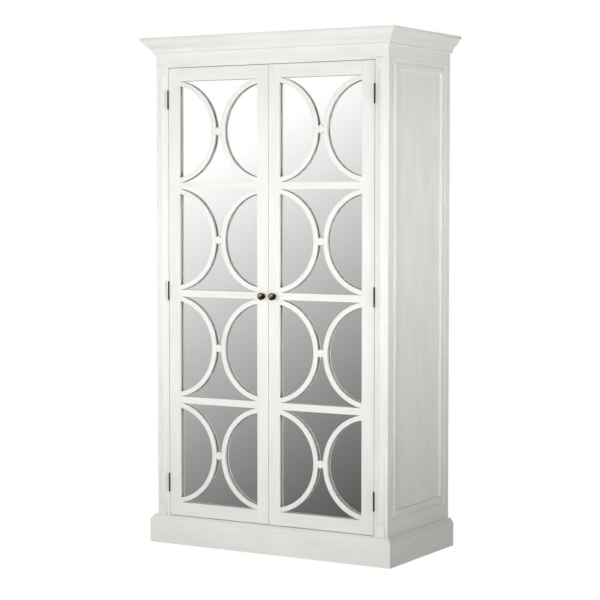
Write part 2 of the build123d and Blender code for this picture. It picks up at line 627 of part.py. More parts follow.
def fretwork(side):
    """In each field two bowed bands, back to back, joined at their crowns by a small disc."""
    face = Plane(origin=(0, FRONT, 0), x_dir=(1, 0, 0), z_dir=(0, 1, 0))
    x_mid = side * FIELD_X
    centre_offset = FRET_OUTER_RADIUS + FRET_APEX_OFFSET
    band_spots = [(x_mid + bow * centre_offset, -z) for z in FIELD_ZS for bow in (-1, 1)]
    field_spots = [(x_mid, -z) for z in FIELD_ZS]
    with BuildPart() as fret:
        with BuildSketch(face):
            with Locations(*band_spots):
                Circle(FRET_OUTER_RADIUS)
                Circle(FRET_OUTER_RADIUS - FRET_BAND, mode=Mode.SUBTRACT)
        extrude(amount=FRET_THICKNESS)
        fillet(fret.edges().filter_by(GeomType.CIRCLE).group_by(Axis.Y)[0], EASE)
        with BuildSketch(face):
            with Locations(*field_spots):
                Rectangle(FIELD_WIDTH, FIELD_HEIGHT)
        extrude(amount=FRET_THICKNESS, mode=Mode.INTERSECT)
        for z in FIELD_ZS:
            with BuildSketch(Plane(origin=(x_mid, FRONT, z), x_dir=(1, 0, 0), z_dir=(0, 0, 1))):
                with BuildLine():
                    Polyline((FRET_DISC_RADIUS, EASE), (FRET_DISC_RADIUS, FRET_THICKNESS),
                             (0, FRET_THICKNESS), (0, 0), (FRET_DISC_RADIUS - EASE, 0))
                    RadiusArc((FRET_DISC_RADIUS - EASE, 0), (FRET_DISC_RADIUS, EASE), -EASE)
                make_face()
            revolve(axis=Axis((x_mid, FRONT, z), (0, 1, 0)))
    return fret.part


def glazing(side, y_span):
    """A full-height sheet in the door's rebate: the mirror, or the board behind it."""
    reach = GLASS_REBATE - GLASS_PLAY
    with BuildPart() as sheet:
        block(across(side, FIELD_INNER - reach, FIELD_OUTER + reach), y_span,
              (FIELD_BOTTOM - reach, FIELD_TOP + reach))
    return sheet.part


def knob(side):
    """A turned knob: rose, waist, rimmed head with a low dome, and the stud that holds it."""
    with BuildPart() as turned:
        with BuildSketch(Plane(origin=(side * KNOB_X, FRONT, KNOB_Z), x_dir=(1, 0, 0), z_dir=(0, 0, 1))):
            with BuildLine():
                Polyline((0, STUD_LENGTH), (STUD_RADIUS, STUD_LENGTH), (STUD_RADIUS, 0), (11, 0), (11, -1.5))
                ThreePointArc((11, -1.5), (7.2, -3.4), (5.5, -7))
                ThreePointArc((5.5, -7), (6.6, -12.5), (12, -16))
                ThreePointArc((12, -16), (KNOB_RADIUS, -18.5), (13, -21))
                Line((13, -21), (KNOB_DOME, -20.6))
                RadiusArc((KNOB_DOME, -20.6), (0, -26), (KNOB_DOME**2 + 5.4**2) / (2 * 5.4))
                Line((0, -26), (0, STUD_LENGTH))
            make_face()
        revolve(axis=Axis((side * KNOB_X, FRONT, KNOB_Z), (0, 1, 0)))
    return turned.part


def catch_plate(side):
    """The thin steel plate on the door's back that the magnet holds."""
    with BuildPart() as plate:
        block(across(side, CATCH_X + CATCH_PLATE_INSET, CATCH_X + CATCH_LENGTH - CATCH_PLATE_INSET),
              (DOOR_BACK, DOOR_BACK + CATCH_PLATE_THICKNESS),
              (TOP_STOP_BOTTOM - CATCH_HEIGHT + 1, TOP_STOP_BOTTOM - CATCH_PLATE_INSET))
    return plate.part


for side_name, side in SIDES.items():
    door = f"{side_name}_door"
    bottom_joint, top_joint = rail_tenons()[:2]
    bottom_rebate = (FIELD_BOTTOM - GLASS_REBATE, FIELD_BOTTOM)
    top_rebate = (FIELD_TOP, FIELD_TOP + GLASS_REBATE)
    save(hinge_stile(side), f"{door}_hinge_stile")
    save(meeting_stile(side), f"{door}_meeting_stile")
    save(end_rail(side, (DOOR_BOTTOM, FIELD_BOTTOM), bottom_rebate, bottom_joint), f"{door}_bottom_rail")
    save(end_rail(side, (FIELD_TOP, DOOR_TOP), top_rebate, top_joint), f"{door}_top_rail")
    save(mid_rails(side), f"{door}_mid_rails")
    save(fretwork(side), f"{door}_fretwork")
    save(glazing(side, (GLASS_FRONT, GLASS_BACK)), f"{door}_mirror")
    save(glazing(side, (GLASS_BACK, DOOR_BACK)), f"{door}_backing")
    save(Compound([hinge_leaf(side, z, 1) for z in HINGE_HEIGHTS]), f"{door}_hinge_leaves")
    with BuildPart() as door_screws:
        screws(DOOR_SPOTS[side], SCREW_LENGTH)
        screw_slots(DOOR_SPOTS[side])
    save(door_screws.part, f"{door}_hinge_screws")
    save(knob(side), f"{door}_knob")
    save(catch_plate(side), f"{door}_catch_plate")
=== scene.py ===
"""Finishes a two-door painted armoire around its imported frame: mouldings, fretwork, mirrors, fittings."""

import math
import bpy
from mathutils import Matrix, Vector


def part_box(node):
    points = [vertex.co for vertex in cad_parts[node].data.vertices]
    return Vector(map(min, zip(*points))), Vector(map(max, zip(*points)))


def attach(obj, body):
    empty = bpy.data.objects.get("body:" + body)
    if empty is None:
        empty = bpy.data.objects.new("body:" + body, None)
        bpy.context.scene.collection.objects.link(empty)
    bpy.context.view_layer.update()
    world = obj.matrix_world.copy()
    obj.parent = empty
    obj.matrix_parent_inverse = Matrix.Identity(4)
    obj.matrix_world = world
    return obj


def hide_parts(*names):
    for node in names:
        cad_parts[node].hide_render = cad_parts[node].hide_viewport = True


bl_info = {
    "name": "Mirrored Armoire",
    "version": (1, 0, 0),
    "blender": (4, 5, 0),
    "location": "3D View > Sidebar > Armoire",
    "description": "Models the mouldings, fretwork, mirrors and fittings of a painted two-door armoire",
    "category": "Object",
}

import bmesh
import bpy
from bpy.props import FloatProperty, FloatVectorProperty, IntProperty, PointerProperty
from mathutils import Matrix, Vector

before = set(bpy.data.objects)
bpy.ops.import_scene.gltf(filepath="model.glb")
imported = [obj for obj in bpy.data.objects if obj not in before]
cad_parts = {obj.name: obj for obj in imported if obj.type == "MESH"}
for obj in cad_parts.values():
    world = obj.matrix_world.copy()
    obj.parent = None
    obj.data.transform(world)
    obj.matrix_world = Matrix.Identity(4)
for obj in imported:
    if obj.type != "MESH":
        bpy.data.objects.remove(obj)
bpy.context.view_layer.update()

MM = 0.001
HAIR = 0.01 * MM  # slack when an edge is picked by its place
SMOOTH_ANGLE = math.radians(32)
X, Y, Z = Vector((1, 0, 0)), Vector((0, 1, 0)), Vector((0, 0, 1))

# The armoire's planes, read from the frame
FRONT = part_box("left_door_hinge_stile")[0].y
BODY_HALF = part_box("side_top_rail_right")[1].x
BODY_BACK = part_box("back_post_right")[1].y
CARCASS_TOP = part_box("back_post_right")[1].z


# ---------------------------------------------------------------- colours
def srgb(code):
    """A hex colour as linear red, green and blue."""
    parts = [int(code[i : i + 2], 16) / 255 for i in (0, 2, 4)]
    return tuple(p / 12.92 if p <= 0.04045 else ((p + 0.055) / 1.055) ** 2.4 for p in parts)


# ---------------------------------------------------------------- settings
class ArmoireSizes(bpy.types.PropertyGroup):
    ease: FloatProperty(
        name="Edge rounding", description="Radius of the softened arrises of painted parts",
        default=1.4 * MM, min=0.2 * MM, max=4 * MM, unit="LENGTH",
    )
    band: FloatProperty(
        name="Fret band width", description="Width of the bowed bands across each mirror field",
        default=20 * MM, min=8 * MM, max=40 * MM, unit="LENGTH",
    )
    bow: FloatProperty(
        name="Fret bow radius", description="Outer radius of the bowed bands",
        default=211.5 * MM, min=150 * MM, max=220 * MM, unit="LENGTH",
    )
    crown_gap: FloatProperty(
        name="Crown distance", description="Distance of a band's crown from the middle of its field",
        default=12 * MM, min=4 * MM, max=15 * MM, unit="LENGTH",
    )
    disc: FloatProperty(
        name="Fret disc radius", description="Radius of the disc that joins two bands at their crowns",
        default=16 * MM, min=12 * MM, max=30 * MM, unit="LENGTH",
    )
    glass_arris: FloatProperty(
        name="Glass arris", description="Width of the ground edge of the mirror glass",
        default=0.6 * MM, min=0.2 * MM, max=2 * MM, unit="LENGTH",
    )
    shaft_rise: FloatProperty(
        name="Pilaster rise", description="How far the half-round shaft stands out of the post",
        default=9 * MM, min=4 * MM, max=16 * MM, unit="LENGTH",
    )
    block_height: FloatProperty(
        name="Pilaster block height", description="Height of the square block at each end of a pilaster",
        default=44 * MM, min=20 * MM, max=80 * MM, unit="LENGTH",
    )
    turning_steps: IntProperty(
        name="Turning steps", description="Number of facets round a turned part",
        default=48, min=16, max=128,
    )


class ArmoireColours(bpy.types.PropertyGroup):
    paint: FloatVectorProperty(
        name="Paint", description="Off-white paint of the outside", subtype="COLOR", size=3,
        default=srgb("EDEDE8"), min=0, max=1,
    )
    board_paint: FloatVectorProperty(
        name="Inside paint", description="Thinner paint on the boards inside", subtype="COLOR", size=3,
        default=srgb("E4E4DE"), min=0, max=1,
    )
    plywood: FloatVectorProperty(
        name="Back board", description="Washed plywood of the back panel and door backs", subtype="COLOR",
        size=3, default=srgb("D9D4C8"), min=0, max=1,
    )
    bronze: FloatVectorProperty(
        name="Bronzed steel", description="Worn bronzed steel of the hinges", subtype="COLOR",
        size=3, default=srgb("8A7F72"), min=0, max=1,
    )
    # The knob dome's lighter brass, which is a painted highlight
    brass: FloatVectorProperty(
        name="Rubbed brass", description="Brass where the patina is rubbed off the knobs", subtype="COLOR",
        size=3, default=srgb("C4AC88"), min=0, max=1,
    )


def sizes():
    return bpy.context.scene.armoire_sizes


def colours():
    return bpy.context.scene.armoire_colours


# ---------------------------------------------------------------- materials
def node(material, kind, inputs=(), **settings):
    """Add a node with its settings. Inputs are (socket, value) or (socket, node, output) entries."""
    made = material.node_tree.nodes.new(kind)
    for key, value in settings.items():
        setattr(made, key, value)
    for socket, source, *output in inputs:
        if output:
            material.node_tree.links.new(source.outputs[output[0]], made.inputs[socket])
        else:
            made.inputs[socket].default_value = source
    return made


def new_material(name, **constants):
    """An empty material with a Principled surface and its constant sockets."""
    material = bpy.data.materials.new(name)
    material.use_nodes = True
    material.node_tree.nodes.clear()
    surface = node(material, "ShaderNodeBsdfPrincipled")
    for socket, value in constants.items():
        surface.inputs[socket.replace("_", " ")].default_value = value
    node(material, "ShaderNodeOutputMaterial", [("Surface", surface, "BSDF")])
    return material, surface


def link(material, source, output, target, socket):
    material.node_tree.links.new(source.outputs[output], target.inputs[socket])


def grain_noise(material, grain, across_mm, along_mm, detail=2.0):
    """Noise drawn out along the grain, with its feature size across and along the grain in millimetres."""
    stretch = [1000.0 / across_mm] * 3
    stretch["XYZ".index(grain)] = 1000.0 / along_mm
    place = node(material, "ShaderNodeTexCoord")
    mapping = node(material, "ShaderNodeMapping", [("Vector", place, "Object"), ("Scale", stretch)])
    return node(
        material, "ShaderNodeTexNoise",
        [("Vector", mapping, "Vector"), ("Scale", 1.0), ("Detail", detail), ("Roughness", 0.55)],
    )


def brushed_paint(name, colour, grain, strength=1.0, roughness=0.42):
    """Eggshell paint, laid on by brush along the grain: soft sheen, faint streaks and uneven cover."""
    material, surface = new_material(name, IOR=1.5)
    surface.inputs["Specular IOR Level"].default_value = 0.4
    # Brush marks are under a millimetre wide. They are drawn 5 mm wide, to show from a few metres off.
    streaks = grain_noise(material, grain, 5.0, 160.0)
    cover = grain_noise(material, grain, 60.0, 260.0, detail=1.0)
    both = node(material, "ShaderNodeMath", [(0, streaks, "Fac"), (1, cover, "Fac")], operation="ADD")
    tone = node(
        material, "ShaderNodeMapRange",
        [("Value", both, "Value"), ("From Min", 0.7), ("From Max", 1.3)],
    )
    dark = tuple(c * (1 - 0.05 * strength) for c in colour) + (1.0,)
    light = tuple(min(1.0, c * (1 + 0.035 * strength)) for c in colour) + (1.0,)
    shade = node(material, "ShaderNodeValToRGB", [("Fac", tone, "Result")])
    shade.color_ramp.elements[0].color, shade.color_ramp.elements[1].color = dark, light
    link(material, shade, "Color", surface, "Base Color")
    rough = node(
        material, "ShaderNodeMapRange",
        [("Value", streaks, "Fac"), ("From Min", 0.3), ("From Max", 0.7),
         ("To Min", roughness - 0.05), ("To Max", roughness + 0.07)],
    )
    link(material, rough, "Result", surface, "Roughness")
    bump = node(
        material, "ShaderNodeBump",
        [("Height", streaks, "Fac"), ("Strength", 0.12), ("Distance", 0.35 * MM)],
    )
    link(material, bump, "Normal", surface, "Normal")
    return material


def paint(grain):
    """The outside paint, with its brush marks along X, Y or Z."""
    name = {"Z": "eggshell_paint_upright", "X": "eggshell_paint_across", "Y": "eggshell_paint_deep"}[grain]
    return bpy.data.materials.get(name) or brushed_paint(name, tuple(colours().paint), grain)


def inside_paint():
    """One thin coat on board: flatter and a little greyer than the outside."""
    name = "satin_paint_on_board"
    found = bpy.data.materials.get(name)
    return found or brushed_paint(name, tuple(colours().board_paint), "X", strength=0.7, roughness=0.5)


def plywood():
    """Washed birch plywood: pale wood figure that runs up the sheet."""
    name = "washed_birch_plywood"
    found = bpy.data.materials.get(name)
    return found or brushed_paint(name, tuple(colours().plywood), "Z", strength=1.8, roughness=0.6)


def mirror_glass():
    """Float glass, polished on both faces: clear, with a faint second reflection from its front."""
    name = "float_glass"
    found = bpy.data.materials.get(name)
    if found:
        return found
    material, surface = new_material(name, IOR=1.52, Roughness=0.0)
    surface.inputs["Transmission Weight"].default_value = 1.0
    surface.inputs["Base Color"].default_value = (*srgb("FFFFFF"), 1.0)
    # Rolling leaves the faintest waves, some 80 mm apart.
    waves = grain_noise(material, "Z", 80.0, 140.0, detail=0.0)
    bump = node(
        material, "ShaderNodeBump", [("Height", waves, "Fac"), ("Strength", 0.05), ("Distance", 0.05 * MM)],
    )
    link(material, bump, "Normal", surface, "Normal")
    return material


def mirror_silver():
    """Chemically silvered back of the glass: a neutral, full reflection."""
    name = "silvering"
    found = bpy.data.materials.get(name)
    if found:
        return found
    material, surface = new_material(name, Metallic=1.0, Roughness=0.0)
    spots = grain_noise(material, "Z", 300.0, 300.0, detail=1.0)
    tone = node(material, "ShaderNodeValToRGB", [("Fac", spots, "Fac")])
    tone.color_ramp.elements[0].color = (*srgb("F4F4F4"), 1.0)
    tone.color_ramp.elements[1].color = (*srgb("F8F8F8"), 1.0)
    link(material, tone, "Color", surface, "Base Color")
    return material


def worn_metal(name, dark, light, roughness, patch_mm):
    """A metal with patches of patina, patch_mm across, that are darker and duller."""
    found = bpy.data.materials.get(name)
    if found:
        return found
    material, surface = new_material(name, Metallic=1.0)
    patches = grain_noise(material, "Z", patch_mm, patch_mm, detail=3.0)
    tone = node(material, "ShaderNodeValToRGB", [("Fac", patches, "Fac")])
    tone.color_ramp.elements[0].position = 0.35
    tone.color_ramp.elements[1].position = 0.65
    tone.color_ramp.elements[0].color = (*dark, 1.0)
    tone.color_ramp.elements[1].color = (*light, 1.0)
    link(material, tone, "Color", surface, "Base Color")
    rough = node(
        material, "ShaderNodeMapRange",
        [("Value", patches, "Fac"), ("From Min", 0.3), ("From Max", 0.7),
         ("To Min", roughness + 0.1), ("To Max", roughness)],
    )
    link(material, rough, "Result", surface, "Roughness")
    return material


def hinge_bronze():
    """Bronzed steel, turned and pressed: a worn grey brown, with a dull gleam."""
    bronze = tuple(colours().bronze)
    return worn_metal("bronzed_steel", tuple(c * 0.7 for c in bronze), bronze, 0.4, 2.5)


def near_black_brass():
    """Antiqued brass on all of the knob but its dome, that is on the rose, waist and rim: near black."""
    return worn_metal("near_black_antiqued_brass", srgb("1E150C"), srgb("33261A"), 0.42, 3.0)


def dome_brass_painted_highlight():
    """Antiqued brass on the knob's dome, made lighter than the rest of the knob as a painted highlight."""
    brass = tuple(colours().brass)
    return worn_metal("dome_brass_painted_highlight", tuple(c * 0.72 for c in brass), brass, 0.34, 3.5)


def zinc():
    """Zinc-plated steel screws: pale grey, slightly cloudy."""
    return worn_metal("zinc_plated_steel", srgb("8E8C88"), srgb("A9A7A2"), 0.32, 1.5)


def bright_zinc():
    """Zinc-plated sheet of the catch plates, rolled smooth."""
    return worn_metal("bright_zinc_sheet", srgb("B4B4B2"), srgb("C6C6C4"), 0.25, 8.0)


def chrome():
    """Chromed steel tube of the hanging rail: bright, with fine polishing haze."""
    return worn_metal("polished_chrome", srgb("C4C6C8"), srgb("D2D4D6"), 0.08, 30.0)


def catch_plastic():
    """Moulded white ABS of the magnetic catches: fine spark-eroded grain."""
    name = "moulded_abs"
    found = bpy.data.materials.get(name)
    if found:
        return found
    material, surface = new_material(name, Roughness=0.5, IOR=1.53)
    grit = grain_noise(material, "Z", 0.8, 0.8)
    tone = node(material, "ShaderNodeValToRGB", [("Fac", grit, "Fac")])
    tone.color_ramp.elements[0].color = (*srgb("DADAD5"), 1.0)
    tone.color_ramp.elements[1].color = (*srgb("E6E6E1"), 1.0)
    link(material, tone, "Color", surface, "Base Color")
    bump = node(
        material, "ShaderNodeBump", [("Height", grit, "Fac"), ("Strength", 0.2), ("Distance", 0.1 * MM)],
    )
    link(material, bump, "Normal", surface, "Normal")
    return material


# ---------------------------------------------------------------- modelling
def clear_selection():
    if bpy.context.object and bpy.context.object.mode != "OBJECT":
        bpy.ops.object.mode_set(mode="OBJECT")
    bpy.ops.object.select_all(action="DESELECT")


def make_active(obj):
    clear_selection()
    obj.select_set(True)
    bpy.context.view_layer.objects.active = obj


def board(name, low, high):
    """Start a board from a cube between two corners."""
    clear_selection()
    low, high = Vector(low), Vector(high)
    bpy.ops.mesh.primitive_cube_add(size=1, location=(low + high) / 2, scale=high - low)
    obj = bpy.context.object
    obj.name = name
    bpy.ops.object.transform_apply(location=True, rotation=True, scale=True)
    return obj


def soften(obj, chosen, width, segments=3):
    """Bevel the edges that chosen(start, end) accepts."""
    make_active(obj)
    bpy.ops.object.mode_set(mode="EDIT")
    bpy.ops.mesh.select_mode(type="EDGE")
    bpy.ops.mesh.select_all(action="DESELECT")
    shape = bmesh.from_edit_mesh(obj.data)
    for edge in shape.edges:
        if chosen(edge.verts[0].co, edge.verts[1].co):
            edge.select = True
    shape.select_flush(True)
    bmesh.update_edit_mesh(obj.data)
    bpy.ops.mesh.bevel(offset=width, segments=segments, profile=0.5, affect="EDGES", clamp_overlap=True)
    bpy.ops.object.mode_set(mode="OBJECT")
    return obj


def trace(name, points, closed=True):
    """Draw a line through the points by extruding a vertex, and leave it selected in edit mode."""
    clear_selection()
    bpy.ops.mesh.primitive_plane_add(size=0.01)
    obj = bpy.context.object
    obj.name = name
    bpy.ops.object.mode_set(mode="EDIT")
    bpy.ops.mesh.select_mode(type="VERT")
    bpy.ops.mesh.select_all(action="SELECT")
    bpy.ops.mesh.merge(type="CENTER")
    bpy.ops.transform.translate(value=points[0])
    line = list(points) + ([points[0]] if closed else [])
    for here, there in zip(line, line[1:]):
        bpy.ops.mesh.extrude_region_move(TRANSFORM_OT_translate={"value": there - here})
    bpy.ops.mesh.select_all(action="SELECT")
    bpy.ops.mesh.remove_doubles(threshold=1e-6)
    return obj


def close_shape(obj):
    """Leave edit mode with doubles merged and faces pointing outwards."""
    bpy.ops.mesh.select_all(action="SELECT")
    bpy.ops.mesh.remove_doubles(threshold=2e-6)
    bpy.ops.mesh.normals_make_consistent(inside=False)
    bpy.ops.object.mode_set(mode="OBJECT")
    return obj


def cut(point, outward):
    """Saw off everything beyond a plane and close the cut. Edit mode."""
    bpy.ops.mesh.select_all(action="SELECT")
    bpy.ops.mesh.bisect(plane_co=point, plane_no=outward, use_fill=True, clear_outer=True)


def moulding(name, section, origin, outward, up, run, mitres):
    """A length of moulding: a section in millimetres along outward and up, drawn along run and mitred."""
    outward, up = Vector(outward), Vector(up)
    points = [Vector(origin) + outward * (o * MM) + up * (u * MM) for o, u in section]
    obj = trace(name, points)
    bpy.ops.mesh.edge_face_add()
    bpy.ops.mesh.extrude_region_move(TRANSFORM_OT_translate={"value": Vector(run)})
    for point, away in mitres:
        cut(Vector(point), Vector(away))
    return close_shape(obj)


def turned(name, profile, centre, axis, steps):
    """A turned part: profile points (radius, height along the axis) in millimetres, spun once round."""
    axis = Vector(axis)
    side = X if abs(axis.x) < 0.5 else Z
    points = [Vector(centre) + side * (r * MM) + axis * (h * MM) for r, h in profile]
    obj = trace(name, points, closed=False)
    bpy.ops.mesh.spin(steps=steps, angle=2 * math.pi, center=Vector(centre), axis=axis)
    return close_shape(obj)


def arc(start, through, end, steps):
    """Points on the arc from start through a point to end, leaving start out."""
    (ax, ay), (bx, by), (cx, cy) = start, through, end
    d = 2 * (ax * (by - cy) + bx * (cy - ay) + cx * (ay - by))
    ux = ((ax**2 + ay**2) * (by - cy) + (bx**2 + by**2) * (cy - ay) + (cx**2 + cy**2) * (ay - by)) / d
    uy = ((ax**2 + ay**2) * (cx - bx) + (bx**2 + by**2) * (ax - cx) + (cx**2 + cy**2) * (bx - ax)) / d
    radius = math.hypot(ax - ux, ay - uy)
    first, middle, last = (math.atan2(y - uy, x - ux) for x, y in (start, through, end))
    turn = (last - first) % (2 * math.pi)
    if (middle - first) % (2 * math.pi) > turn:
        turn -= 2 * math.pi
    angles = [first + turn * n / steps for n in range(1, steps + 1)]
    return [(ux + radius * math.cos(a), uy + radius * math.sin(a)) for a in angles]


def joined(name, parts):
    """Join several pieces into one object."""
    make_active(parts[0])
    for part in parts:
        part.select_set(True)
    bpy.ops.object.join()
    parts[0].name = name
    return parts[0]


def moved_copy(obj, name, shift):
    """A copy with its own mesh, moved in its mesh."""
    clear_selection()
    twin = obj.copy()
    twin.data = obj.data.copy()
    twin.name = name
    bpy.context.scene.collection.objects.link(twin)
    twin.data.transform(Matrix.Translation(shift))
    return twin


def mirrored_copy(obj, name):
    """A copy for the other side, mirrored across the armoire's middle, with its faces turned back out."""
    twin = moved_copy(obj, name, Vector((0, 0, 0)))
    twin.data.transform(Matrix.Diagonal((-1, 1, 1, 1)))
    make_active(twin)
    bpy.ops.object.mode_set(mode="EDIT")
    bpy.ops.mesh.select_all(action="SELECT")
    bpy.ops.mesh.flip_normals()
    bpy.ops.object.mode_set(mode="OBJECT")
    return twin


def complete(obj, body, nodes, materials):
    """Smooth a finished piece, give it its finish if it has none yet, and fix it to the frame."""
    make_active(obj)
    bpy.ops.object.shade_smooth_by_angle(angle=SMOOTH_ANGLE)
    if not obj.data.materials:
        for material in materials:
            obj.data.materials.append(material)
    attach(obj, body)
    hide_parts(*nodes)


# ---------------------------------------------------------------- cornice and plinth
def run_round(kind, section, z_zero, reach, material_front, material_side):
    """A moulding across the front and along both sides, mitred at the two front corners."""
    half, deep = BODY_HALF + reach, BODY_BACK - FRONT + reach
    corner = {side: (side * BODY_HALF, FRONT, 0) for side in (-1, 1)}
    front = moulding(
        f"{kind}_front_run", section, (-half, FRONT, z_zero), -Y, Z, X * (2 * half),
        [(corner[side], (side, 1, 0)) for side in (-1, 1)],
    )
    complete(front, "carcass", [f"{kind}_front"], [material_front])
    right = moulding(
        f"{kind}_right_run", section, (BODY_HALF, BODY_BACK, z_zero), X, Z, -Y * deep,
        [(corner[1], (-1, -1, 0))],
    )
    left = mirrored_copy(right, f"{kind}_left_run")
    complete(right, "carcass", [f"{kind}_right"], [material_side])
    complete(left, "carcass", [f"{kind}_left"], [material_side])


class ARMOIRE_OT_cornice(bpy.types.Operator):
    """Crown cornice: bead, fillet and ogee, mitred round the front and sides, under a cap board"""

    bl_idname = "armoire.cornice"
    bl_label = "Cornice"

    def execute(self, context):
        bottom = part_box("cornice_front")[0].z
        rise, reach, cap_round = (CARCASS_TOP - bottom) / MM, 50 * MM, 2.2 * MM
        section = [(0, rise), (0, 0), (6, 0)]
        section += arc((6, 0), (9, 4), (6.5, 8), 8)
        section += [(10, 8.2)]
        section += arc((10, 8.2), (15.6, 20), (25, 30), 9)
        section += arc((25, 30), (36, 40.5), (42, rise), 9)
        run_round("cornice", section, bottom, reach, paint("X"), paint("Y"))

        low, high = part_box("cornice_cap")
        cap = board("cornice_cap_board", low, high)
        soften(cap, lambda a, b: min(a.y, b.y) < high.y - HAIR, cap_round, segments=4)
        complete(cap, "carcass", ["cornice_cap"], [paint("X")])
        return {"FINISHED"}


class ARMOIRE_OT_plinth(bpy.types.Operator):
    """Moulded plinth: a plain skirting with a small shoulder, a quirk and a flat ovolo back to the posts"""

    bl_idname = "armoire.plinth"
    bl_label = "Plinth"

    def execute(self, context):
        low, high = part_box("plinth_front")
        out, top = (FRONT - low.y) / MM, high.z / MM
        section = [(0, top - 4), (0, 0), (out - 0.6, 0), (out, 0.6), (out, top - 19)]
        section += arc((out, top - 19), (out - 0.8, top - 17.2), (out - 2.6, top - 16.4), 4)
        section += [(out - 5, top - 16.9), (out - 5.2, top - 14.5)]
        section += arc((out - 5.2, top - 14.5), (13, top - 5.5), (5.5, top), 9)
        section += [(4, top - 4)]
        run_round("plinth", section, 0.0, out * MM, paint("X"), paint("Y"))
        return {"FINISHED"}


# ---------------------------------------------------------------- pilasters
class ARMOIRE_OT_pilasters(bpy.types.Operator):
    """Stopped half-round pilasters: a shaft between two square blocks, necked at each end"""

    bl_idname = "armoire.pilasters"
    bl_label = "Pilasters"

    def execute(self, context):
        s = sizes()
        low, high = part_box("pilaster_right")
        x, half = (low.x + high.x) / 2, (high.x - low.x) / 2
        neck, neck_half, neck_out, block_out, arris = 4.5 * MM, 15 * MM, 0.6 * MM, 8 * MM, 0.8 * MM
        parts = []
        for bottom in (low.z, high.z - s.block_height):
            top = bottom + s.block_height
            block = board("block", (x - half, FRONT - block_out, bottom), (x + half, FRONT, top))
            parts.append(soften(block, lambda a, b: max(a.y, b.y) < FRONT - HAIR, s.ease))
        shaft_low, shaft_high = low.z + s.block_height + neck, high.z - s.block_height - neck
        rim, rise = half / MM, s.shaft_rise / MM
        section = [(-rim, 0)] + arc((-rim, 0), (0, rise), (rim, 0), 20)
        shaft = moulding("shaft", section, (x, FRONT, shaft_low), X, -Y, Z * (shaft_high - shaft_low), [])

        def at_round_end(a, b):
            at_end = max(a.z, b.z) < shaft_low + HAIR or min(a.z, b.z) > shaft_high - HAIR
            return at_end and min(a.y, b.y) < FRONT - HAIR

        parts.append(soften(shaft, at_round_end, arris, segments=2))
        core = board(
            "neck", (x - neck_half, FRONT - neck_out, low.z + s.block_height - MM),
            (x + neck_half, FRONT, high.z - s.block_height + MM),
        )

        def along_neck(a, b):
            return max(a.y, b.y) < FRONT - HAIR and abs(a.z - b.z) > HAIR

        parts.append(soften(core, along_neck, arris))
        right = joined("pilaster_right_turning", parts)
        left = mirrored_copy(right, "pilaster_left_turning")
        complete(right, "carcass", ["pilaster_right"], [paint("Z")])
        complete(left, "carcass", ["pilaster_left"], [paint("Z")])
        return {"FINISHED"}


# ---------------------------------------------------------------- side mouldings
class ARMOIRE_OT_side_mouldings(bpy.types.Operator):
    """Planted panel moulding: a shallow hollow, a raised flat and a rounded nose"""

    bl_idname = "armoire.side_mouldings"
    bl_label = "Side mouldings"

    def execute(self, context):
        low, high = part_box("side_moulding_right")
        width = 36
        section = [(0, 0), (0, 7.4)] + arc((0, 7.4), (8, 4.4), (16, 8), 8) + [(18, 8.2), (32.5, 8)]
        section += arc((32.5, 8), (35.2, 7), (width, 4.6), 5) + [(width, 0)]
        middle = (low + high) / 2
        reach = Vector((0, high.y - middle.y, high.z - middle.z))
        lengths = []
        for inward, run in ((Y, Z), (-Y, Z), (Z, Y), (-Z, Y)):
            edge = Vector((low.x, middle.y, middle.z)) - inward * abs(reach.dot(inward))
            half = abs(reach.dot(run))
            lengths.append(
                moulding(
                    "length", section, edge - run * half, inward, X, run * (2 * half),
                    [(edge + run * half, run + inward), (edge - run * half, inward - run)],
                )
            )
            lengths[-1].data.materials.append(paint("Z" if run == Z else "Y"))
        right = joined("side_moulding_right_set", lengths)
        left = mirrored_copy(right, "side_moulding_left_set")
        complete(right, "carcass", ["side_moulding_right"], [])
        complete(left, "carcass", ["side_moulding_left"], [])
        return {"FINISHED"}


# ---------------------------------------------------------------- doors
ROUNDING = 0.29  # where a quarter round's middle lies, in parts of its radius
BAND_STEPS = 72
FIELDS = 4


def bowed_band(name, centre, thickness, bow, cuts):
    """One bowed band: a softened strip spun about the bow's centre and cut at the edges of its field."""
    s = sizes()
    ease, curve = s.ease, ROUNDING * s.ease
    depth = [
        (0, thickness), (0, ease), (curve, curve), (ease, 0),
        (s.band - ease, 0), (s.band - curve, curve), (s.band, ease), (s.band, thickness),
    ]
    hub = centre + X * (bow * (s.bow + s.crown_gap))
    swing = math.radians(87)  # each way from the crown, so the ends run past the field
    start = Matrix.Rotation(swing, 3, "Y")  # spin turns the opposite way
    points = [hub + start @ Vector((bow * (o - s.bow), 0, 0)) + Y * back for o, back in depth]
    obj = trace(name, points)
    bpy.ops.mesh.spin(steps=BAND_STEPS, angle=2 * swing, center=hub, axis=Y)
    for point, away in cuts:
        cut(point, away)
    return close_shape(obj)


